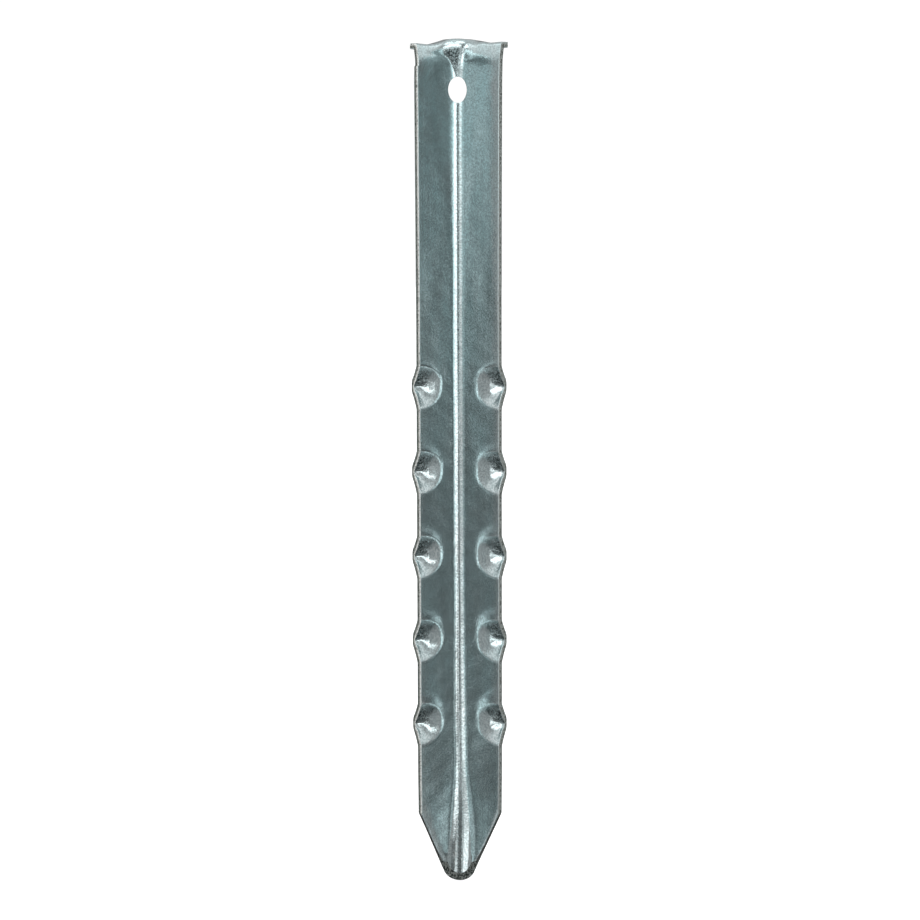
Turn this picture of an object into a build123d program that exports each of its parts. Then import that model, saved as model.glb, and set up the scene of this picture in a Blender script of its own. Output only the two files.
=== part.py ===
from build123d import *
import math
import os

os.makedirs("parts", exist_ok=True)

# Ground spike pressed from one sheet. Millimetres, +Z up, the V section opens towards -Y.

# Sheet and section
LENGTH = 300.0
WIDTH = 30.0  # across the free edges
SHEET = 2.0
ROOT_RADIUS = 2.9  # inside bend radius of the V

# Head: flange rolled outwards, gusset pressed forwards, fixing hole through the root
FLANGE_REACH = 2.4  # beyond the outer faces of the wings
FLANGE_TOP_RADIUS = 3.0
FLANGE_UNDER_RADIUS = 1.0
GUSSET_FOOT = 286.8
GUSSET_REACH = 1.6
HOLE_HEIGHT = 9.0
HOLE_FRONT_WIDTH = 6.7
HOLE_LEVEL = 282.0

# Barbs: pressed outwards at the free edges
BARB_COUNT = 5
BARB_FIRST = 59.6
BARB_PITCH = 29.9
BARB_RISE = 2.5
BARB_HALF_LENGTH = 7.6
BARB_DEPTH = 10.4  # from the free edge towards the root
BARB_NOSE = 0.16  # size of the flat nose, as a share of the foot

# Driving tip
TIP_HALF_ANGLE = math.radians(24)  # seen from the front
TIP_RADIUS = 5.5
TIP_ROOT_RADIUS = 6.2
TIP_ROOT_TOP = 18.0
TIP_BLEND_TOP = 33.0
BEVEL_HEIGHT = 3.0  # rise of the end's slanted face through one sheet thickness
BEVEL_LAND = 0.3  # square end left behind the bevel

# Worked out from the above
HALF = WIDTH / 2
SKEW = SHEET * math.sqrt(2)  # sheet thickness measured across the V, at 45 degrees
ROOT_GAP = math.sqrt(2) - 1  # distance from a fillet to its corner, per unit of radius
OUTER_RADIUS = ROOT_RADIUS + SHEET
REAR = FLANGE_REACH * math.sqrt(2) - (OUTER_RADIUS + FLANGE_REACH) * ROOT_GAP  # flange behind the apex
FRONT = HALF + SHEET / math.sqrt(2)  # free edges in front of the apex
APEX = (FRONT - REAR) / 2  # y of the outer faces' virtual corner: the depth is centred on y = 0
INNER_ROOT = APEX - SKEW - ROOT_RADIUS * ROOT_GAP
OUTER_ROOT = INNER_ROOT + SHEET
TIP_DROP = TIP_RADIUS * (1 / math.sin(TIP_HALF_ANGLE) - 1)  # sharp point below the rounded one
TAPER_START = HALF / math.tan(TIP_HALF_ANGLE) - TIP_DROP


def vee(height, inner_radius, outset=0.0):
    """The V section at one height; outset thickens it outwards for the flange."""
    spread = outset * math.sqrt(2)
    inner_end = (HALF - SHEET / math.sqrt(2), APEX - FRONT)
    outer_end = (HALF + outset / math.sqrt(2), APEX - HALF + outset / math.sqrt(2))
    with BuildSketch(Plane.XY.offset(height)) as section:
        with BuildLine():
            Polyline(
                inner_end,
                (0, APEX - SKEW),
                (-inner_end[0], inner_end[1]),
                (-outer_end[0], outer_end[1]),
                (0, APEX + spread),
                outer_end,
                close=True,
            )
        make_face()
        fillet(section.vertices().sort_by(Axis.Y)[-1], inner_radius + SHEET + outset)
        fillet(section.vertices().filter_by_position(Axis.X, -0.01, 0.01)[0], inner_radius)
    return section.sketch


def behind_corner(edge):
    """How far an edge lies behind the outer corner line of the V, for choosing the inner ones."""
    return edge.center().Y + abs(edge.center().X) - APEX


# The pressed dart above the hole: it fills the front of the root and hollows its back
with BuildPart() as gusset:
    with BuildSketch(Plane.YZ) as gusset_side:
        with BuildLine():
            Polyline(
                (OUTER_ROOT, GUSSET_FOOT),
                (INNER_ROOT, GUSSET_FOOT),
                (INNER_ROOT - GUSSET_REACH, LENGTH),
                (OUTER_ROOT, LENGTH),
                close=True,
            )
        make_face()
        fillet(gusset_side.vertices().sort_by(Axis.X)[0], FLANGE_TOP_RADIUS)
    extrude(amount=HALF, both=True)
    with BuildSketch(Plane.XY.offset(GUSSET_FOOT)) as gusset_limit:
        with BuildLine():
            Polyline((-HALF, APEX - SHEET - HALF), (0, APEX - SHEET), (HALF, APEX - SHEET - HALF), close=True)
        make_face()
    extrude(amount=LENGTH - GUSSET_FOOT, mode=Mode.INTERSECT)

# The outer skin of one barb, foot on the XY plane, free edge along Y through the origin
with BuildPart() as dimple:
    with BuildSketch(Plane.XY):
        Ellipse(BARB_DEPTH, BARB_HALF_LENGTH)
    with BuildSketch(Plane.XY.offset(BARB_RISE)):
        Ellipse(BARB_DEPTH * BARB_NOSE, BARB_HALF_LENGTH * BARB_NOSE)
    loft(ruled=True)
    split(bisect_by=Plane.YZ, keep=Keep.TOP)

with BuildPart() as spike_body:
    # Straight channel, then the wider root towards the tip
    add(vee(TIP_BLEND_TOP, ROOT_RADIUS))
    extrude(amount=LENGTH - TIP_BLEND_TOP)
    add(vee(TIP_ROOT_TOP, TIP_ROOT_RADIUS))
    add(vee(TIP_BLEND_TOP, ROOT_RADIUS))
    loft(ruled=True)
    add(vee(0, TIP_ROOT_RADIUS))
    extrude(amount=TIP_ROOT_TOP)

    # Rolled head flange, with its bend radii on top and underneath
    add(vee(LENGTH - SHEET, ROOT_RADIUS, FLANGE_REACH))
    extrude(amount=SHEET)
    fillet(edges().group_by(Axis.Z)[-1].sort_by(behind_corner)[:3], FLANGE_TOP_RADIUS)
    under_edges = edges().filter_by_position(Axis.Z, LENGTH - SHEET - 0.01, LENGTH - SHEET + 0.01)
    fillet(under_edges.sort_by(behind_corner)[:3], FLANGE_UNDER_RADIUS)

    # Gusset: the front is filled, then the same shape is hollowed out behind it, under the flange
    add(gusset.part)
    with BuildSketch(Plane.YZ):
        with BuildLine():
            Polyline(
                (OUTER_ROOT, GUSSET_FOOT),
                (OUTER_ROOT - GUSSET_REACH * (1 - SHEET / (LENGTH - GUSSET_FOOT)), LENGTH - SHEET),
                (OUTER_ROOT + FLANGE_UNDER_RADIUS, LENGTH - SHEET),
                (OUTER_ROOT + FLANGE_UNDER_RADIUS, GUSSET_FOOT),
                close=True,
            )
        make_face()
    extrude(amount=OUTER_RADIUS, both=True, mode=Mode.SUBTRACT)

    # Fixing hole through the root: its sides flare so that they cross the wings squarely
    hole_side = HOLE_FRONT_WIDTH / 2
    hole_mouth = APEX - SKEW - hole_side
    with BuildSketch(Plane.XZ.offset(-hole_mouth)):
        with Locations((0, HOLE_LEVEL)):
            Ellipse(hole_side, HOLE_HEIGHT / 2)
    with BuildSketch(Plane.XZ.offset(-hole_mouth - OUTER_RADIUS)):
        with Locations((0, HOLE_LEVEL)):
            Ellipse(hole_side + OUTER_RADIUS, HOLE_HEIGHT / 2)
    loft(ruled=True, mode=Mode.SUBTRACT)

    # Barbs: the same dimple is raised on the outer face and sunk into the inner face
    for side in (-1, 1):
        along = Vector(-side, 1, 0)
        outward = Vector(side, 1, 0)
        for index in range(BARB_COUNT):
            level = BARB_FIRST + index * BARB_PITCH
            outer_foot = Plane(origin=(side * HALF, APEX - HALF, level), x_dir=along, z_dir=outward)
            add(outer_foot.location * dimple.part)
            add(outer_foot.offset(-SHEET).location * dimple.part, mode=Mode.SUBTRACT)

    # Tip: each wing sheared square to its face, then the end rounded and its front bevelled
    wing_slope = math.tan(TIP_HALF_ANGLE) * math.sqrt(2)
    for side in (-1, 1):
        with BuildSketch(Plane(origin=(side * HALF, APEX - HALF, 0), x_dir=(-side, 1, 0), z_dir=(1, side, 0))):
            with BuildLine():
                Polyline(
                    (-SHEET, TAPER_START + SHEET / wing_slope),
                    (TAPER_START * wing_slope + SHEET * wing_slope, -SHEET),
                    (-SHEET, -SHEET),
                    close=True,
                )
            make_face()
        extrude(amount=SHEET + 1, both=True, mode=Mode.SUBTRACT)
    with BuildSketch(Plane.XZ) as below_end:
        with BuildLine():
            Polyline(
                (-HALF, TAPER_START),
                (0, -TIP_DROP),
                (HALF, TAPER_START),
                (HALF, -2 * TIP_DROP),
                (-HALF, -2 * TIP_DROP),
                close=True,
            )
        make_face()
        fillet(below_end.vertices().filter_by_position(Axis.X, -0.01, 0.01)[0], TIP_RADIUS)
    extrude(amount=WIDTH, both=True, mode=Mode.SUBTRACT)
    bevel_start = APEX - (TIP_ROOT_RADIUS + SHEET) * ROOT_GAP - BEVEL_LAND
    bevel_run = bevel_start + FRONT
    with BuildSketch(Plane.YZ):
        with BuildLine():
            Polyline(
                (bevel_start, 0),
                (bevel_start - bevel_run, bevel_run * BEVEL_HEIGHT / SHEET),
                (bevel_start - bevel_run, 0),
                close=True,
            )
        make_face()
    extrude(amount=WIDTH, both=True, mode=Mode.SUBTRACT)

spike_body.part.label = "spike_body"
export_step(spike_body.part, "parts/spike_body.step")
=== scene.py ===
import math

import bpy
import numpy as np
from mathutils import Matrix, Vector


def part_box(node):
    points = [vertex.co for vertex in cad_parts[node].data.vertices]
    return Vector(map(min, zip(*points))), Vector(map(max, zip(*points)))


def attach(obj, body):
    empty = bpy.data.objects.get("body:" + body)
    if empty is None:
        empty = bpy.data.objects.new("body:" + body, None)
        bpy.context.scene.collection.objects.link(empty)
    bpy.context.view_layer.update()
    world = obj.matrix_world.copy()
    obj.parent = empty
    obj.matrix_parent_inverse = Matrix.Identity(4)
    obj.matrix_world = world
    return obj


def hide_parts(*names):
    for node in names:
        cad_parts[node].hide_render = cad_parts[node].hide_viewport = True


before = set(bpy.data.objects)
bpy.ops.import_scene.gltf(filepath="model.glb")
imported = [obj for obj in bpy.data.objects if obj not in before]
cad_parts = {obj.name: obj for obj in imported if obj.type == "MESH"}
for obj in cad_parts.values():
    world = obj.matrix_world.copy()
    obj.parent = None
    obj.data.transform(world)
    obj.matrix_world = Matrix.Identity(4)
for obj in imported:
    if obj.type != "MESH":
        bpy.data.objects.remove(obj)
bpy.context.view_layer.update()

# Ground spike pressed from one sheet. The forming functions work in millimetres, objects are in metres.
MM = 0.001
NODE = "spike_body"

low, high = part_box(NODE)
LENGTH = (high[2] - low[2]) / MM
FRONT = low[1] / MM  # y of the free edges

# Sheet and section
SHEET = 2.0
HALF_WIDTH = 15.0
ROOT_RADIUS = 2.9
SKEW = SHEET * math.sqrt(2)  # the sheet measured along Y, through a wing
APEX = FRONT + HALF_WIDTH + SHEET / math.sqrt(2)  # y of the outer faces' virtual corner
OPENING = 0.75  # how far the V has sprung open at the hole, over both wings
OPENING_START = 200.0
CLOSING = math.radians(1.8)  # how far the wings have closed at the tip
CLOSING_SPAN = (8.0, 48.0)  # a span is where a change begins and ends; here heights
TAIL_LEFT = 0.14  # angle still to bend where the fold ends, at the top
TAIL_RIGHT = -0.07
TAIL_LENGTH = 3.0
TAIL_GROWS = (170.0, 270.0)
TAIL_FADES = (284.0, 290.0)
WING_RUN = 17.0  # flat width of a wing beside the fold

# Wandering of the fold and lean of the tip
ROOT_DRIFT = 0.3  # how far the upper part of the fold lies to the left
ROOT_DRIFT_LOWER = (60.0, 140.0)  # half of it is gained here, the other half in the upper span
ROOT_DRIFT_UPPER = (165.0, 195.0)
TIP_DRIFT = 0.5  # how far the fold lies to the right at the tip, before the lean
TIP_DRIFT_SPAN = (14.0, 80.0)
TIP_LEAN = 0.45  # how far the whole tip leans to the left
TIP_LEAN_SPAN = (0.0, 30.0)

# Head
ROLL_START = 289.0
ROLL_LEAN = math.radians(9)  # lean of the wings where the tight bend begins
ROLL_RADIUS = 1.7
ROLL_SOFT_RADIUS = 4.4  # radius of the bend beside the gusset
SOFT_BEGINS = (1.0, 4.0)  # distances from the fold
SOFT_ENDS = (5.0, 11.0)
FLANGE_REACH = 4.5  # from the front face to the flange's end
CROWN_LEFT = 1.9  # how far the middle of the flange stands above its ends
CROWN_LEFT_SPAN = (1.5, 13.5)  # distances from the fold
CROWN_RIGHT = 1.5
CROWN_RIGHT_SPAN = (3.0, 15.5)
FLANGE_SAG = 0.75  # how far the flange's end hangs below its bend, beside the middle
SAG_AT_FOLD = 0.45  # share of the sag at the fold
SAG_GROWS = (0.0, 6.0)  # distances from the fold
SAG_FADE = 0.6  # share of the sag lost towards the flange's ends
SAG_FADES = (10.0, 19.0)
HEAD_STEP = 0.5  # the left edge steps in above the roll
HEAD_STEP_SPAN = (290.4, 291.2)
GUSSET_FOOT = 287.0
GUSSET_SLOPE = 0.095
GUSSET_TURN = 0.5  # the gusset's face looks a little to the right
GUSSET_TURN_RISE = 8.0  # height over which it turns
GUSSET_RADIUS = 2.4
GUSSET_BEND = LENGTH - GUSSET_RADIUS - 0.1
GUSSET_REACH = 1.6  # how much farther forwards than the flange its bend begins
CREASE_LEFT = 0.10  # softness of the crease left of the gusset
CREASE_RIGHT = 0.45  # added on its right
CREASE_HEAD = 0.7  # added where it meets the flange
HOLE_LEVEL = 282.0
HOLE_RADIUS = 4.5

# Barbs
BARB_LEVELS = [61.0 + 29.9 * k for k in range(5)]
BARB_RISE = 2.4
BARB_NOSE = 2.8  # height of the blunt nose
BARB_UPPER = 5.6  # run of the flank above the nose
BARB_LOWER = 6.4
BARB_DEPTH = 9.8  # reach from the free edge towards the root
BARB_HOLLOW = 0.3  # how much its slope steepens from the ring to the nose
BARB_SOFTNESS = 0.026  # of the ring, as a share of the cone
BARB_LIP = 0.5  # width along the free edge that is pressed out evenly
POCKET_DEPTH = 0.65  # the groove that the punch leaves
POCKET_TOP = 1.3  # run of its steep upper side
POCKET_BOTTOM = 2.2  # run of its lower side
POCKET_HEIGHT = 3.9
POCKET_MIDDLE = 1.9
POCKET_REACH = 5.0  # from the free edge
POCKET_END = 2.4  # run of its end towards the root
POCKET_ROUND = 0.45  # how much shorter it is above and below than in the middle

# Tip
TIP_HALF_ANGLE = math.radians(21.75)
TIP_RADIUS = 5.9
TIP_ROOT_RADIUS = 6.4
TIP_ROOT_TOP = 14.0
TIP_BLEND_TOP = 46.0
TIP_EASE = 0.5  # slight easing of the fold above the tip
TIP_EASE_TOP = 110.0
BEVEL = 3.0  # how much higher the front face ends than the back
TAPER_SLANT = 0.5  # how much wider the front face is than the back along the tapers
TIP_DROP = TIP_RADIUS * (1 / math.sin(TIP_HALF_ANGLE) - 1)
TAPER_START = HALF_WIDTH / math.tan(TIP_HALF_ANGLE) - TIP_DROP
TANGENT_X = TIP_RADIUS * math.cos(TIP_HALF_ANGLE)
TANGENT_Z = TIP_RADIUS * (1 - math.sin(TIP_HALF_ANGLE))

# Edges of the sheet
ROLLOVER = 0.25  # rounding of the outer edge by the shear
BURR = 0.1  # rounding of the inner edge
BORDER_STEPS = (0.0, 0.03, 0.07, 0.12, 0.18, ROLLOVER)  # rows that round an edge
WALL_DEPTHS = (0.25, 0.5, 0.75)  # rows across a cut edge

# Mesh around the hole
RING_MARGIN = 2.4  # from the hole to the square of quads left out for it
RING_SHARES = (1.0, 0.8, 0.6, 0.42, 0.28, 0.17)  # from that square inwards
RING_STEPS = (0.25, 0.16, 0.09, 0.04, 0.0)  # the last ones, as distances from the hole's edge
RING_WIDTH = 2.6

UV_SCALE = 0.01  # from millimetres of blank to UV


def smooth(x, start, end):
    """0 before start, 1 after end, with a smooth step between."""
    k = np.clip((x - start) / (end - start), 0.0, 1.0)
    return k * k * (3 - 2 * k)


def soft_min(a, b, width):
    """The lesser of a and b with a rounded changeover, and b's share of it."""
    share = 1 / (1 + np.exp(np.clip((b - a) / width, -60, 60)))
    value = -width * np.logaddexp(-a / width, -b / width)
    return value, share


# ---------------------------------------------------------------- section and forming


def root_radius(z):
    """Inside radius of the fold at a height: larger at the tip."""
    eased = ROOT_RADIUS + TIP_EASE * (1 - smooth(z, TIP_BLEND_TOP, TIP_EASE_TOP))
    return TIP_ROOT_RADIUS + (eased - TIP_ROOT_RADIUS) * smooth(z, TIP_ROOT_TOP, TIP_BLEND_TOP)


def wing_angle(z):
    """Angle of a wing from the X axis: 45 degrees, less where the V has sprung open, more at the tip."""
    rise = np.clip((z - OPENING_START) / (HOLE_LEVEL - OPENING_START), 0.0, 1.2) ** 1.5
    return math.pi / 4 - OPENING / 2 * rise / HALF_WIDTH + CLOSING * (1 - smooth(z, *CLOSING_SPAN))


def half_blank(z):
    """Half the flat width of the middle of the sheet at a height, from the outline seen from the front."""
    z = np.asarray(z, float)
    middle = root_radius(z) + SHEET / 2
    outer = root_radius(z) + SHEET
    outline = HALF_WIDTH - np.clip(TAPER_START - z, 0, None) * math.tan(TIP_HALF_ANGLE)
    bend_end = outer * math.sqrt(0.5)
    on_wing = middle * math.pi / 4 + (outline - bend_end) * math.sqrt(2)
    in_bend = middle * np.arcsin(np.clip(outline / outer, 0, 1))
    return np.where(outline > bend_end, on_wing, in_bend)


FLAT_EDGE = float(half_blank(LENGTH / 2))  # half the blank's width above the tip


def roll_profile(start, lean, radius, reach):
    """How the head bends outwards: tables of height, outward shift and path length along the front face."""
    step = 0.02
    lean_length = LENGTH - radius * (1 - math.sin(lean)) - start
    bend_length = radius * (math.pi / 2 - lean)
    path = np.arange(0, lean_length * 1.02 + bend_length + reach, step)
    angle = lean * smooth(path, 0, lean_length)
    angle = angle + np.clip((path - lean_length) / radius, 0, math.pi / 2 - lean)
    shift = np.cumsum(np.sin(angle)) * step
    height = np.cumsum(np.cos(angle)) * step
    height *= (LENGTH - start) / height[-1]
    last = np.searchsorted(shift, reach)
    return start + height[:last], shift[:last], path[:last]


WING_ROLL = roll_profile(ROLL_START, ROLL_LEAN, ROLL_RADIUS, FLANGE_REACH)
SOFT_ROLL = roll_profile(ROLL_START, ROLL_LEAN, ROLL_SOFT_RADIUS, FLANGE_REACH)
GUSSET_ROLL = roll_profile(GUSSET_BEND, math.radians(1), GUSSET_RADIUS, FLANGE_REACH + GUSSET_REACH)
SHEET_END = ROLL_START + WING_ROLL[2][-1]


def roll(table, start, p):
    """Height and outward shift at a path length up the sheet; every table ends at the same path length."""
    heights, shifts, paths = table
    bent = np.clip((p - start) * paths[-1] / (SHEET_END - start), 0, None)
    return np.where(p < start, p, np.interp(bent, paths, heights)), np.interp(bent, paths, shifts)


def barb_rise(inset, z):
    """How far a wing is pressed outwards, at a distance in from its free edge: half a blunt cone."""
    rise = np.zeros(np.broadcast(inset, z).shape)
    inward = np.clip(inset - BARB_LIP, 0, None)
    for level in BARB_LEVELS:
        beyond = np.clip(np.abs(z - level + BARB_NOSE / 2) - BARB_NOSE / 2, 0, None)
        beyond = beyond / np.where(z > level, BARB_UPPER, BARB_LOWER)
        distance = np.sqrt(beyond**2 + (inward / BARB_DEPTH) ** 2)
        share = 1 - soft_min(distance, np.ones_like(distance), BARB_SOFTNESS)[0]
        rise += BARB_RISE * share * (1 - BARB_HOLLOW * (1 - share))
    return rise


def pocket_depth(inset, z):
    """The groove that the punch leaves in each barb: steep above, sloping below, run out towards the root."""
    depth = np.zeros(np.broadcast(inset, z).shape)
    for level in BARB_LEVELS:
        below = level + 0.1 - z
        top = below / POCKET_TOP
        bottom = (POCKET_HEIGHT - below) / POCKET_BOTTOM
        end = (POCKET_REACH - POCKET_ROUND * (below / POCKET_MIDDLE - 1) ** 2 - inset) / POCKET_END
        depth += POCKET_DEPTH * np.clip(np.minimum(np.minimum(top, bottom), end), 0, 1)
    return depth


def strain_and_shade(inset, z):
    """Where pressing has crazed the plating of the barbs: on their upper flanks, by the free edge. The same
    share darkens the colour there as painted shade.
    """
    amount = np.zeros(np.broadcast(inset, z).shape)
    for level in BARB_LEVELS:
        amount += (1 - smooth(np.abs(z - level - 1.6), 1.6, 3.6)) * (1 - smooth(inset, 2.0, 6.5))
    return amount


def rolled(across, p):
    """Height and outward shift of the face as the head bends outwards, more softly beside the gusset."""
    height, shift = roll(WING_ROLL, ROLL_START, p)
    soft_height, soft_shift = roll(SOFT_ROLL, ROLL_START, p)
    softness = smooth(across, *SOFT_BEGINS) * (1 - smooth(across, *SOFT_ENDS))
    return height + (soft_height - height) * softness, shift + (soft_shift - shift) * softness


def root_centre(p):
    """y of the centre of the fold's arcs."""
    return APEX - SKEW - root_radius(p) * math.sqrt(2)


def section(q, p, shift):
    """Distance from the middle plane and y of the front face: a round fold between two wings."""
    across = np.abs(q)
    radius = root_radius(p)
    middle = radius + SHEET / 2
    wing = wing_angle(p)
    tail = np.where(q < 0, TAIL_LEFT, TAIL_RIGHT) * smooth(p, *TAIL_GROWS) * (1 - smooth(p, *TAIL_FADES))
    theta = np.minimum(across / middle, wing - tail * (1 - TAIL_LENGTH / WING_RUN))
    run = across - middle * theta
    settled = tail * TAIL_LENGTH * (1 - np.exp(-run / TAIL_LENGTH) - run / WING_RUN)
    turn = np.where(run > 0, wing, theta)
    pressed = barb_rise(half_blank(p) - across, p) * math.sqrt(0.5)
    out = (radius + shift) * np.sin(theta) + run * np.cos(turn) + settled * np.sin(turn) + pressed
    back = (radius + shift) * np.cos(theta) - run * np.sin(turn) + settled * np.cos(turn) + pressed
    return out, root_centre(p) + back


def drift(across, p):
    """How far a point lies to the left: the fold wanders between free edges that stay, and the tip leans."""
    left = ROOT_DRIFT * (smooth(p, *ROOT_DRIFT_LOWER) + smooth(p, *ROOT_DRIFT_UPPER)) / 2
    right = TIP_DRIFT * (1 - smooth(p, *TIP_DRIFT_SPAN))
    by_fold = np.clip(1 - across / half_blank(p), 0, 1)
    return (left - right) * by_fold + TIP_LEAN * (1 - smooth(p, *TIP_LEAN_SPAN))


def gusset_face(x, p):
    """Height and y of the gusset's face, extended endlessly to both sides."""
    height, shift = roll(GUSSET_ROLL, GUSSET_BEND, p)
    above = height - GUSSET_FOOT
    turn = GUSSET_TURN * np.clip(above / GUSSET_TURN_RISE, 0.3, 1)
    return height, root_centre(p) + root_radius(p) - GUSSET_SLOPE * above + shift + turn * x


def lowering(q, p):
    """How far the head lies below an even one: beside its crowned middle, and where the flange sags."""
    across = np.abs(q)
    left = CROWN_LEFT * smooth(across, *CROWN_LEFT_SPAN)
    right = CROWN_RIGHT * smooth(across, *CROWN_RIGHT_SPAN)
    crown = np.where(q < 0, left, right) * smooth(p, ROLL_START - 5, LENGTH)
    sag = SAG_AT_FOLD + (1 - SAG_AT_FOLD) * smooth(across, *SAG_GROWS)
    sag = FLANGE_SAG * sag * (1 - SAG_FADE * smooth(across, *SAG_FADES))
    return crown + sag * smooth(p, ROLL_START + 4.5, SHEET_END)


def formed(q, p):
    """Where a point of the blank's front face ends up, and the gusset's share in it.

    q runs across the middle of the sheet, p up the sheet.
    """
    q, p = np.broadcast_arrays(np.asarray(q, float), np.asarray(p, float))
    across = np.abs(q)
    height, shift = rolled(across, p)
    out, y = section(q, p, shift)
    x = np.where(q < 0, -out, out)
    gusset_height, gusset_y = gusset_face(x, p)
    crease = CREASE_LEFT + CREASE_RIGHT * smooth(x, -1.0, 1.5)
    crease = crease + CREASE_HEAD * smooth(p, ROLL_START + 5, GUSSET_BEND)
    y_head, share = soft_min(y, gusset_y, crease)
    in_head = p > GUSSET_FOOT - 6
    share = np.where(in_head, share, 0)
    y = np.where(in_head, y_head, y)
    height = height + share * (gusset_height - height) - lowering(q, p)
    return np.stack([x - drift(across, p), y, height], -1), share


def form(q, p):
    """Where a point of the blank's front face ends up."""
    return formed(q, p)[0]


def gusset_share(q, p):
    """1 on the gusset's face, 0 away from it and on the flange."""
    return smooth(formed(q, p)[1], 0.6, 0.85) * (1 - smooth(p, GUSSET_BEND - 1.5, GUSSET_BEND))


def front_normal(q, p, step=0.05):
    """Unit normal of the formed front face, pointing out of the sheet on its front."""
    along = form(q + step, p) - form(q - step, p)
    up = form(q, p + step) - form(q, p - step)
    normal = np.cross(along, up)
    return normal / np.linalg.norm(normal, axis=-1, keepdims=True)


# ---------------------------------------------------------------- mesh


def graded(stops):
    """Positions from (end, spacing) stops, the first stop being the start."""
    values = [stops[0][0]]
    for end, spacing in stops[1:]:
        count = max(1, round((end - values[-1]) / spacing))
        values += list(np.linspace(values[-1], end, count + 1)[1:])
    return values


def border(edge, inward):
    """The close rows that round an edge of the sheet."""
    return [edge + inward * step for step in BORDER_STEPS]


def columns():
    """Places of the columns as shares of the half width, from -1 to 1."""
    inner = graded([(0.0, 0), (5.2, 0.4), (13.0, 0.7), (FLAT_EDGE - ROLLOVER, 0.45)])
    half = inner[:-1] + border(FLAT_EDGE, -1)[::-1]
    return np.array([-q for q in half[:0:-1]] + half) / FLAT_EDGE


def rows():
    """Heights of the rows at the free edges; close together where the sheet is most bent."""
    stops = [(TANGENT_Z + ROLLOVER, 0), (38.0, 0.6)]
    for level in BARB_LEVELS:
        stops += [(level - 11, 1.5), (level - 3.4, 0.6), (level + 1.6, 0.25), (level + 7, 0.5)]
    stops += [(272.0, 1.8), (HOLE_LEVEL + 6, 0.6), (SHEET_END - ROLLOVER, 0.28)]
    return np.array(border(TANGENT_Z, 1)[:-1] + graded(stops)[:-1] + border(SHEET_END, -1)[::-1])


def flat_layout():
    """The blank as flat quads: (share of half width, row height) points and faces, with the hole cut in."""
    across, up = columns(), rows()
    u, v = np.meshgrid(across, up)
    points = np.stack([u.ravel(), v.ravel()], -1)
    wide, tall = len(across), len(up)
    reach = HOLE_RADIUS + RING_MARGIN
    c0, c1 = np.searchsorted(across * FLAT_EDGE, (-reach, reach - 0.2))
    r0, r1 = np.searchsorted(up, (HOLE_LEVEL - reach, HOLE_LEVEL + reach - 0.6))
    faces = [
        (r * wide + c, r * wide + c + 1, (r + 1) * wide + c + 1, (r + 1) * wide + c)
        for r in range(tall - 1)
        for c in range(wide - 1)
        if not (r0 <= r < r1 and c0 <= c < c1)
    ]
    ring = [r0 * wide + c for c in range(c0, c1)] + [r * wide + c1 for r in range(r0, r1)]
    ring += [r1 * wide + c for c in range(c1, c0, -1)] + [r * wide + c0 for r in range(r1, r0, -1)]
    return ringed(points, faces, ring)


def ringed(points, faces, ring):
    """The layout with rings of quads added from the square round the hole to the hole's edge."""
    outer = points[ring] * (FLAT_EDGE, 1)
    bearing = np.arctan2(outer[:, 1] - HOLE_LEVEL, outer[:, 0])
    inner = np.stack([np.cos(bearing), np.sin(bearing)], -1) * HOLE_RADIUS + (0, HOLE_LEVEL)
    shares = RING_SHARES + tuple(step / RING_WIDTH for step in RING_STEPS)
    previous = np.array(ring)
    for share in shares[1:]:
        layer = (inner + (outer - inner) * share) / (FLAT_EDGE, 1)
        current = np.arange(len(points), len(points) + len(ring))
        points = np.vstack([points, layer])
        after, before = np.roll(current, -1), np.roll(previous, -1)
        faces += [tuple(map(int, f)) for f in zip(previous, before, after, current)]
        previous = current
    return points, faces


def blank_point(share, level, lift, spread):
    """Blank coordinates of a layout point. Low rows curve down to the rounded end; lift raises the end.

    Spread widens the tapers, so that the cut face there is slanted.
    """
    level = level + lift * (1 + 0.5 * share**2) * (1 - smooth(level, TANGENT_Z, TANGENT_Z + 10))
    step = HEAD_STEP * smooth(level, *HEAD_STEP_SPAN) * smooth(-share, 0.5, 0.95)
    taper = smooth(level, TANGENT_Z + 4, TANGENT_Z + 12)
    taper = taper * (1 - smooth(level, TAPER_START - 1, TAPER_START + 0.5))
    q = share * (half_blank(level) + spread * taper) + step
    theta = np.clip(np.abs(q) / (root_radius(level) + SHEET / 2), 0, 1.2)
    outline = (root_radius(level) + SHEET) * np.sin(theta)
    end = TIP_RADIUS - np.sqrt(TIP_RADIUS**2 - np.clip(outline, 0, TANGENT_X) ** 2)
    drop = (TANGENT_Z - end) * (1 - smooth(level, TANGENT_Z + lift, TAPER_START + 2))
    return q, level - drop


def rounding(distance, radius):
    """How far an edge rounded by radius has dropped at a distance in from the edge."""
    inside = np.clip(1 - distance / radius, 0, 1)
    return radius * (1 - np.sqrt(1 - inside**2))


def wander(q, p):
    """Slow unevenness of the pressed faces, a few hundredths of a millimetre."""
    return (
        0.020 * np.sin(0.21 * p + 0.9 * np.sin(0.35 * q) + 1.0)
        + 0.016 * np.sin(0.47 * q + 0.6 * np.sin(0.11 * p))
        + 0.010 * np.sin(0.83 * p - 0.52 * q)
        + 0.002 * np.sin(2.1 * q + 0.7 * np.sin(0.4 * p))
    )


def edge_distance(share, level):
    """Distance of layout points from the nearest edge of the sheet."""
    from_side = (1 - np.abs(share)) * half_blank(level)
    from_ends = np.minimum(level - TANGENT_Z, SHEET_END - level)
    from_hole = np.hypot(share * FLAT_EDGE, level - HOLE_LEVEL) - HOLE_RADIUS
    return np.minimum(np.minimum(from_side, from_ends), from_hole).clip(0)


def boundary(faces):
    """The directed edges that belong to one face only."""
    edges = {(a, b): True for face in faces for a, b in zip(face, face[1:] + face[:1])}
    return [(a, b) for a, b in edges if (b, a) not in edges]


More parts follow.
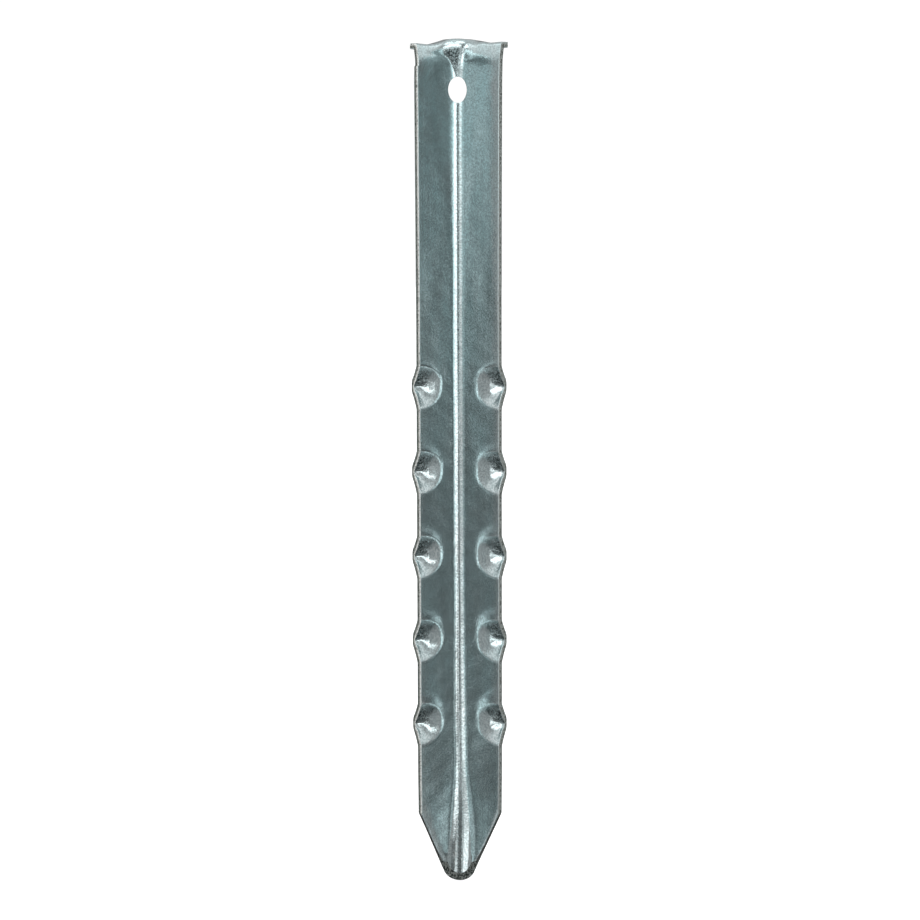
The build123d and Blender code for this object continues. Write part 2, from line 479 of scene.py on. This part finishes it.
def set_uv(mesh, name, first, second):
    """A UV map from two values per vertex."""
    corner = np.array([loop.vertex_index for loop in mesh.loops])
    values = np.stack([first[corner], second[corner]], -1)
    mesh.uv_layers.new(name=name).data.foreach_set("uv", values.ravel())


def spike_mesh():
    """The sheet: formed front and back faces joined by walls along its edges and through the hole."""
    points, faces = flat_layout()
    share, level = points.T
    from_edge = edge_distance(share, level)

    q_front, p_front = blank_point(share, level, BEVEL, TAPER_SLANT)
    q_back, p_back = blank_point(share, level, 0.0, 0.0)
    normal = front_normal(q_front, p_front)
    pocket = pocket_depth(half_blank(p_front) - np.abs(q_front), p_front)
    sunk = rounding(from_edge, BURR) + pocket - wander(q_front, p_front)
    front = form(q_front, p_front) - normal * sunk[:, None]
    thickness = SHEET - rounding(from_edge, ROLLOVER)
    back = form(q_back, p_back) - front_normal(q_back, p_back) * thickness[:, None]

    count = len(points)
    rim = boundary(faces)
    rim_points = sorted({a for a, _ in rim})
    place = {a: k for k, a in enumerate(rim_points)}
    walls = [front[rim_points] + (back[rim_points] - front[rim_points]) * d for d in WALL_DEPTHS]
    verts = np.vstack([front, back] + walls)
    layers = [lambda a: a]
    layers += [lambda a, k=k: 2 * count + k * len(rim_points) + place[a] for k in range(len(walls))]
    layers += [lambda a: a + count]
    quads = list(faces) + [tuple(a + count for a in face[::-1]) for face in faces]
    faced = len(quads)
    for upper, lower in zip(layers, layers[1:]):
        quads += [(upper(b), upper(a), lower(a), lower(b)) for a, b in rim]

    mesh = bpy.data.meshes.new("spike_sheet")
    mesh.from_pydata((verts * MM).tolist(), [], quads)
    blank_q = np.concatenate([q_front, q_back] + [q_front[rim_points]] * len(walls))
    blank_p = np.concatenate([p_front, p_back] + [p_front[rim_points]] * len(walls))
    set_uv(mesh, "blank", blank_q * UV_SCALE, blank_p * UV_SCALE)
    # Painted shade: this share darkens the plating's colour on the barbs' upper flanks, besides roughening
    # and crazing it.
    worn_and_shaded = strain_and_shade(half_blank(p_front) - np.abs(q_front), p_front)
    # The gusset's face is painted dark as well: painted shade over crazed plating.
    worn_and_shaded = np.maximum(worn_and_shaded, gusset_share(q_front, p_front))
    unworn = np.zeros(count + len(walls) * len(rim_points))
    deep = [np.zeros(count), np.ones(count)] + [np.full(len(rim_points), d) for d in WALL_DEPTHS]
    set_uv(mesh, "wear_and_shade", np.concatenate([worn_and_shaded, unworn]), np.concatenate(deep))
    mesh.polygons.foreach_set("use_smooth", [True] * len(quads))
    mesh.polygons.foreach_set("material_index", [0] * faced + [1] * (len(quads) - faced))
    mesh.validate()
    mesh.update()
    return mesh


# ---------------------------------------------------------------- materials


class Nodes:
    """A short way to write a node tree: most calls add a node and return one of its outputs."""

    def __init__(self, tree):
        self.tree = tree
        self.tree.nodes.clear()

    def add(self, kind, inputs=(), output=0, **settings):
        node = self.tree.nodes.new(kind)
        for name, value in settings.items():
            setattr(node, name, value)
        for name, value in dict(inputs).items():
            if isinstance(value, bpy.types.NodeSocket):
                self.tree.links.new(value, node.inputs[name])
            else:
                node.inputs[name].default_value = value
        return node.outputs[output]

    def math(self, operation, a, b=0.0):
        return self.add("ShaderNodeMath", {0: a, 1: b}, operation=operation)

    def ramp(self, value, start, end, low_value=0.0, high_value=1.0, interpolation="LINEAR"):
        inputs = {"Value": value, 1: start, 2: end, 3: low_value, 4: high_value}
        return self.add("ShaderNodeMapRange", inputs, interpolation_type=interpolation)

    def noise(self, vector, scale, detail, roughness):
        inputs = {"Vector": vector, "Scale": scale, "Detail": detail, "Roughness": roughness}
        return self.add("ShaderNodeTexNoise", inputs)

    def stretched(self, vector, x, y):
        return self.add("ShaderNodeMapping", {"Vector": vector, "Scale": (x, y, 1.0)})

    def parts(self, vector):
        """The x and y of a vector."""
        outputs = self.add("ShaderNodeSeparateXYZ", {0: vector}).node.outputs
        return outputs[0], outputs[1]

    def bump(self, height, strength, distance, normal=None):
        inputs = {"Height": height, "Strength": strength, "Distance": distance}
        if normal is not None:
            inputs["Normal"] = normal
        return self.add("ShaderNodeBump", inputs)

    def metal(self, tint, rough, normal):
        inputs = {"Base Color": tint, "Metallic": 1.0, "Roughness": rough, "Normal": normal}
        self.finish(self.add("ShaderNodeBsdfPrincipled", inputs))

    def mix(self, share, a, b):
        node = self.tree.nodes.new("ShaderNodeMix")
        node.data_type = "RGBA"
        for socket, value in ((node.inputs["Factor"], share), (node.inputs[6], a), (node.inputs[7], b)):
            if isinstance(value, bpy.types.NodeSocket):
                self.tree.links.new(value, socket)
            else:
                socket.default_value = value
        return node.outputs[2]

    def finish(self, shader, kind="ShaderNodeOutputMaterial"):
        self.tree.links.new(shader, self.tree.nodes.new(kind).inputs["Surface"])


def new_material(name):
    material = bpy.data.materials.new(name)
    material.use_nodes = True
    return material, Nodes(material.node_tree)


CRAZED_AND_SHADE_TINT = (0.03, 0.04, 0.04, 1)  # near black: what shows where the plating has cracked, and painted shade on the barbs' upper flanks, the gusset's face and along the fold


def fold_cracks_and_shade(n, across, along, crazed):
    """Painted shade along the fold, with jagged, crazed edges: a thin dark line in its crease in its upper
    part and a dark band, off centre, below.
    """
    jagged = n.math("ADD", across, n.ramp(crazed, 0.3, 0.7, -0.0030, 0.0030))
    thin = n.ramp(n.math("ABSOLUTE", jagged), 0.0022, 0.0042, 1.0, 0.0)
    upper = n.math("MULTIPLY", thin, n.ramp(along, 1.55, 1.9))
    upper = n.math("MULTIPLY", upper, n.ramp(along, 2.86, 2.88, 1.0, 0.0))
    left = n.math("ABSOLUTE", n.math("ADD", jagged, 0.0035))
    lower = n.math("MULTIPLY", n.ramp(left, 0.0058, 0.0090, 1.0, 0.0), n.ramp(along, 0.25, 0.5, 1.0, 0.0))
    return upper, lower


def plated_face():
    """Bright zinc over rolled sheet: cool grey with drifting tints and a fine grain, crazed where pressed.
    Where crazed, and along the fold, the colour is painted darker towards near black as shade.
    """
    material, n = new_material("plated_face")
    blank = n.add("ShaderNodeUVMap", uv_map="blank")
    across, along = n.parts(blank)
    strained_and_shaded = n.parts(n.add("ShaderNodeUVMap", uv_map="wear_and_shade"))[0]
    place = n.add("ShaderNodeTexCoord", output=3)
    clouds = n.noise(n.stretched(blank, 9.0, 3.5), 1.0, 4.0, 0.6)
    streaks = n.noise(n.stretched(blank, 40.0, 4.0), 1.0, 3.0, 0.6)
    grain = n.noise(place, 1500.0, 2.0, 0.7)
    crystals = n.add("ShaderNodeTexVoronoi", {"Vector": place, "Scale": 1300.0})
    crazed = n.noise(place, 1700.0, 3.0, 0.6)

    teal = n.math("ADD", n.ramp(clouds, 0.38, 0.62, -0.35, 0.35), n.ramp(along, 1.4, 2.6, 0.25, 0.75))
    tint = n.mix(teal, (0.70, 0.79, 0.80, 1), (0.61, 0.78, 0.80, 1))
    tint = n.mix(n.ramp(streaks, 0.35, 0.7, 0.0, 0.3), tint, (0.80, 0.84, 0.85, 1))
    tint = n.mix(n.ramp(grain, 0.42, 0.60, 0.0, 0.9), tint, (0.48, 0.57, 0.58, 1))

    # Dark lines along the fold are painted shade: in its crease above, and beside it near the tip.
    upper, lower = fold_cracks_and_shade(n, across, along, crazed)
    wear_and_shade = n.math("MAXIMUM", strained_and_shaded, n.math("MULTIPLY", n.math("MAXIMUM", upper, lower), 0.9))
    cracks_and_shade = n.math("MULTIPLY", wear_and_shade, n.ramp(crazed, 0.42, 0.60, 1.0, 0.25))
    line = n.math("MAXIMUM", n.math("MULTIPLY", lower, 0.8), n.math("MULTIPLY", upper, 0.5))
    cracks_and_shade = n.math("MAXIMUM", cracks_and_shade, line)
    # Painted shade: the colour goes towards near black where crazed and along the fold.
    tint = n.mix(n.math("MULTIPLY", cracks_and_shade, 0.95), tint, CRAZED_AND_SHADE_TINT)

    rough = n.math("ADD", n.ramp(clouds, 0.3, 0.7, 0.11, 0.16), n.ramp(grain, 0.3, 0.7, -0.02, 0.03))
    rough = n.math("ADD", rough, n.math("MULTIPLY", wear_and_shade, 0.16))
    fine = n.math("ADD", n.math("MULTIPLY", grain, 0.55), n.math("MULTIPLY", crystals, 0.45))
    normal = n.bump(fine, 0.28, 0.00008)
    normal = n.bump(streaks, 0.08, 0.0001, normal)
    normal = n.bump(n.math("MULTIPLY", wear_and_shade, crazed), 0.9, 0.0004, normal)
    n.metal(tint, rough, normal)
    return material


def sheared_edge():
    """Cut edges: a burnished band by the front, then torn and pitted metal. The burnished band is a painted
    highlight on the left edge and painted shade on the right, and the torn metal is painted darker on the
    left than on the right.

    The tapers and the bevel near the tip are painted near black as shade, broken up by pitting.
    """
    material, n = new_material("sheared_edge")
    place = n.add("ShaderNodeTexCoord", output=3)
    across, along = n.parts(n.add("ShaderNodeUVMap", uv_map="blank"))
    depth = n.parts(n.add("ShaderNodeUVMap", uv_map="wear_and_shade"))[1]
    torn = n.noise(place, 1500.0, 3.0, 0.65)
    pitted = n.noise(place, 1800.0, 2.0, 0.6)
    wavy = n.math("ADD", depth, n.ramp(torn, 0.3, 0.7, -0.15, 0.15))
    on_right = n.ramp(across, -0.1, 0.1)

    # Painted highlight on the left edge, painted shade on the right.
    lit_and_shaded_burnish = n.mix(on_right, (0.90, 0.93, 0.90, 1), (0.38, 0.42, 0.41, 1))
    tint = n.mix(n.ramp(torn, 0.36, 0.5), (0.20, 0.22, 0.21, 1), lit_and_shaded_burnish)
    # Painted light again: the torn metal is darker on the left and lighter on the right.
    lit_and_shaded_fracture = n.mix(on_right, (0.26, 0.28, 0.26, 1), (0.40, 0.44, 0.42, 1))
    lit_and_shaded_fracture = n.mix(n.ramp(pitted, 0.44, 0.54), (0.10, 0.11, 0.10, 1), lit_and_shaded_fracture)
    tint = n.mix(n.ramp(wavy, 0.36, 0.5), tint, lit_and_shaded_fracture)
    tint = n.mix(n.ramp(wavy, 0.8, 0.98), tint, (0.14, 0.16, 0.15, 1))
    # Painted shade at the tip: near black, mixed with a lighter grey by the pitting noise.
    pitted_tip_shade = n.mix(n.ramp(pitted, 0.46, 0.56), (0.02, 0.03, 0.025, 1), (0.48, 0.52, 0.50, 1))
    tint = n.mix(n.ramp(along, 0.25, 0.27, 1.0, 0.0), tint, pitted_tip_shade)

    n.metal(tint, n.ramp(torn, 0.3, 0.7, 0.5, 0.3), n.bump(torn, 0.6, 0.0003))
    return material


def spike():
    """The one visual piece, on the spike's body."""
    body = bpy.data.objects.new("spike_sheet", spike_mesh())
    bpy.context.scene.collection.objects.link(body)
    body.data.materials.append(plated_face())
    body.data.materials.append(sheared_edge())
    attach(body, "root")
    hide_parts(NODE)


# ---------------------------------------------------------------- studio

# Soft lights as (azimuth, elevation, half width, half height, strength, soft edge), in degrees.
# Azimuth 0 is the camera's side and grows to the right.
SOFTBOXES = [
    # beside the camera, about level
    (33.5, -3, 21.5, 6, 1.45, 2.5),
    (-32, 3, 21, 6.5, 0.65, 3),
    (-38, 6, 12, 8, 0.5, 3),
    (-31, -7, 22, 3.5, 0.30, 3),
    (-4, 1, 3, 6.5, 0.75, 2),
    (-12, 1, 4, 6.5, 0.3, 2),
    (43, -10.4, 8, 2, 1.0, 1.5),
    (0, 6, 9, 5, 0.08, 3),
    # above it
    (38, 32, 17, 31, 1.2, 3),
    (-40, 38, 17, 34, 1.1, 3),
    (14, 16, 6, 10, 0.25, 4),
    (-54, 30, 15, 13, 1.3, 4),
    # below it
    (25, -21, 6, 6.5, 1.2, 2),
    (-38, -19, 19, 9, 1.35, 2.5),
    (-8, -19, 6, 7, 0.95, 3),
    (11.5, -19, 4.5, 8.5, 0.9, 2.5),
    (0, -66, 180, 20, 0.40, 5),
    # at the sides
    (58, 2, 7, 6, 1.5, 2),
    (66, -8, 12, 24, 0.22, 4),
    (-66, -8, 12, 24, 0.22, 4),
    (86, 14, 12, 6, 0.2, 4),
    (-86, 6, 12, 12, 0.2, 4),
    (88, -15, 12, 5, 0.15, 4),
    (-88, -15, 12, 5, 0.15, 4),
    # behind the object
    (92, 44, 20, 32, 0.55, 12),
    (-92, 44, 20, 32, 0.55, 12),
    (104, -8, 11, 20, 1.1, 3),
    (-104, -8, 11, 20, 1.1, 3),
]
SKY = 0.62  # light from above
FRONT_LEVEL = 0.155  # around the camera
GROUND = 0.035  # from below
BACKDROP = 1.05  # as the camera sees it
FLOOR_SIZE = 4.0


def studio_world():
    """A pale studio: white behind the object, soft boxes each side of the camera, light above, dark below."""
    world = bpy.data.worlds.new("studio")
    bpy.context.scene.world = world
    world.use_nodes = True
    n = Nodes(world.node_tree)
    direction = n.add("ShaderNodeSeparateXYZ", {0: n.add("ShaderNodeTexCoord", output=0)}).node.outputs
    azimuth = n.math("ARCTAN2", direction[0], n.math("MULTIPLY", direction[1], -1.0))
    azimuth = n.math("MULTIPLY", azimuth, 180 / math.pi)
    elevation = n.math("MULTIPLY", n.math("ARCSINE", direction[2]), 180 / math.pi)
    light = n.ramp(elevation, 5.0, 45.0, FRONT_LEVEL, SKY, "SMOOTHSTEP")
    light = n.math("SUBTRACT", light, n.ramp(elevation, -4.0, -30.0, 0.0, FRONT_LEVEL - GROUND, "SMOOTHSTEP"))
    for middle, level, half_width, half_height, strength, edge in SOFTBOXES:
        turn = n.math("ABSOLUTE", n.math("SUBTRACT", azimuth, middle))
        turn = n.math("MINIMUM", turn, n.math("ABSOLUTE", n.math("SUBTRACT", turn, 360.0)))
        rise = n.math("ABSOLUTE", n.math("SUBTRACT", elevation, level))
        sides = n.ramp(turn, half_width + edge, half_width - edge, 0.0, strength, "SMOOTHSTEP")
        ends = n.ramp(rise, half_height + edge, half_height - edge, 0.0, 1.0, "SMOOTHSTEP")
        light = n.math("ADD", light, n.math("MULTIPLY", sides, ends))
    studio = n.add("ShaderNodeBackground", {"Color": (1, 1, 1, 1), "Strength": light})
    backdrop = n.add("ShaderNodeBackground", {"Color": (1, 1, 1, 1), "Strength": BACKDROP})
    seen = n.add("ShaderNodeLightPath")
    n.finish(n.add("ShaderNodeMixShader", {0: seen, 1: studio, 2: backdrop}), "ShaderNodeOutputWorld")


def floor():
    """A plain pale floor, which shows in the picture but not in the object's reflections."""
    corners = [(x * FLOOR_SIZE, y * FLOOR_SIZE, 0) for x, y in ((-1, -1), (1, -1), (1, 1), (-1, 1))]
    mesh = bpy.data.meshes.new("floor")
    mesh.from_pydata(corners, [], [(0, 1, 2, 3)])
    plane = bpy.data.objects.new("floor", mesh)
    bpy.context.scene.collection.objects.link(plane)
    material, n = new_material("pale_floor")
    glow = {"Emission Color": (1, 1, 1, 1), "Emission Strength": 0.6}
    paint = {"Base Color": (0.9, 0.9, 0.9, 1), "Roughness": 0.9}
    n.finish(n.add("ShaderNodeBsdfPrincipled", paint | glow))
    mesh.materials.append(material)
    plane.visible_glossy = False


CAMERA_DISTANCE = 1.010  # metres
CAMERA_ELEVATION = math.radians(6.5)
CAMERA_ROLL = math.radians(-0.13)
LENS = 112.2
SENSOR = 36.0
AIM = (0.00024, 0.0, 0.1526)  # metres


def camera():
    """In front of the open side of the V, a little above level."""
    data = bpy.data.cameras.new("camera")
    data.lens = LENS
    data.sensor_width = SENSOR
    eye = bpy.data.objects.new("camera", data)
    bpy.context.scene.collection.objects.link(eye)
    target = Vector(AIM)
    back = Vector((0, -math.cos(CAMERA_ELEVATION), math.sin(CAMERA_ELEVATION)))
    eye.location = target + back * CAMERA_DISTANCE
    eye.rotation_mode = "QUATERNION"
    eye.rotation_quaternion = (-back).to_track_quat("-Z", "Y")
    eye.rotation_mode = "XYZ"
    eye.rotation_euler.rotate_axis("Z", CAMERA_ROLL)
    bpy.context.scene.camera = eye


spike()
studio_world()
floor()
camera()
bpy.context.scene.view_settings.view_transform = "Standard"
